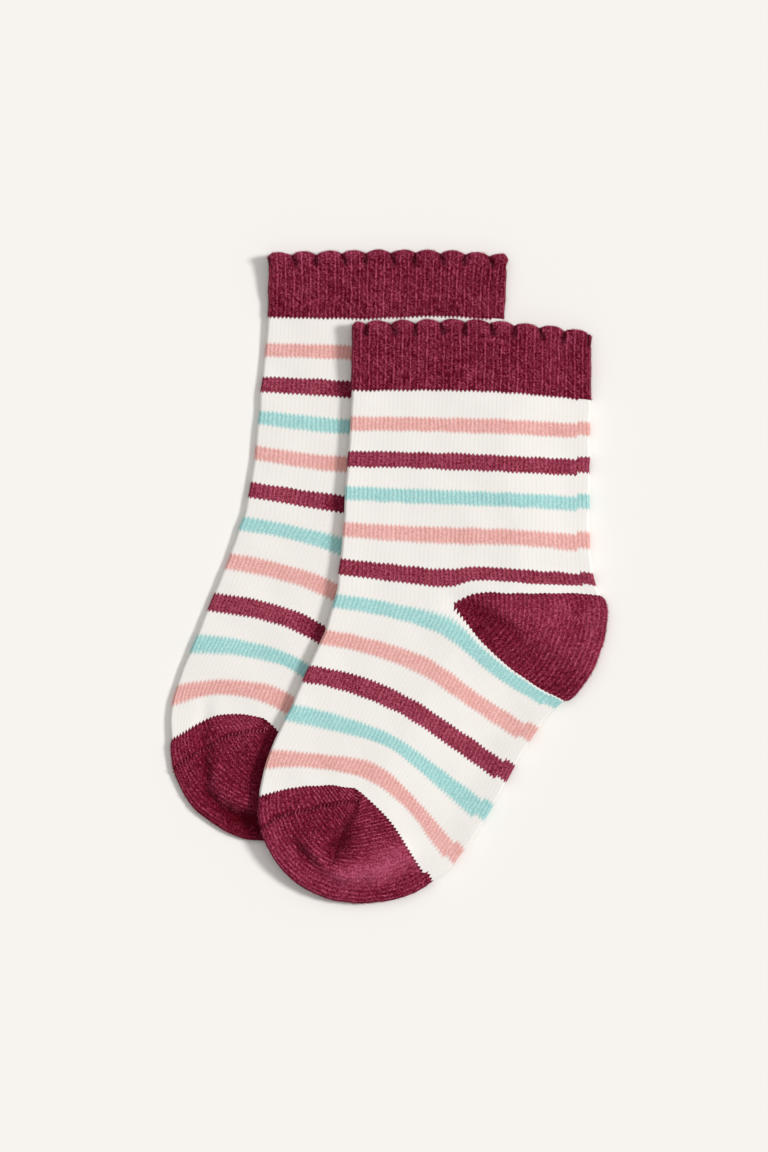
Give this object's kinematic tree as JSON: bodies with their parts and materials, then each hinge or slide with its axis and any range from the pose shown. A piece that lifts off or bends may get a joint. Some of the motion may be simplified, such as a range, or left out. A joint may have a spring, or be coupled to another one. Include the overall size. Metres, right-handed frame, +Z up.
{
  "type": "pair of socks",
  "caption": "Pair of small children's ankle socks with scalloped ribbed cuffs, striped legs and contrast heels and toes, laid flat with one on the other.",
  "frame": {"origin": "on the surface that the socks lie on, below the middle of the pair's bounding box", "axes": "+Z up from the surface, +Y from the toes towards the cuffs, +X to the right as seen from above, towards the heels"},
  "size_m": [0.1342, 0.1992, 0.0083],
  "materials": {
    "maroon_knit": "matt maroon cotton knit, ribbed at the cuff and plain at heel and toe",
    "striped_knit": "matt white cotton jersey with narrow pink, maroon and pale teal stripes"
  },
  "bodies": {
    "root": {"front_cuff": "maroon_knit", "front_leg_foot": "striped_knit", "front_heel": "maroon_knit", "front_toe": "maroon_knit", "rear_cuff": "maroon_knit", "rear_leg_foot": "striped_knit", "rear_heel": "maroon_knit", "rear_toe": "maroon_knit"}
  },
  "joints": []
}
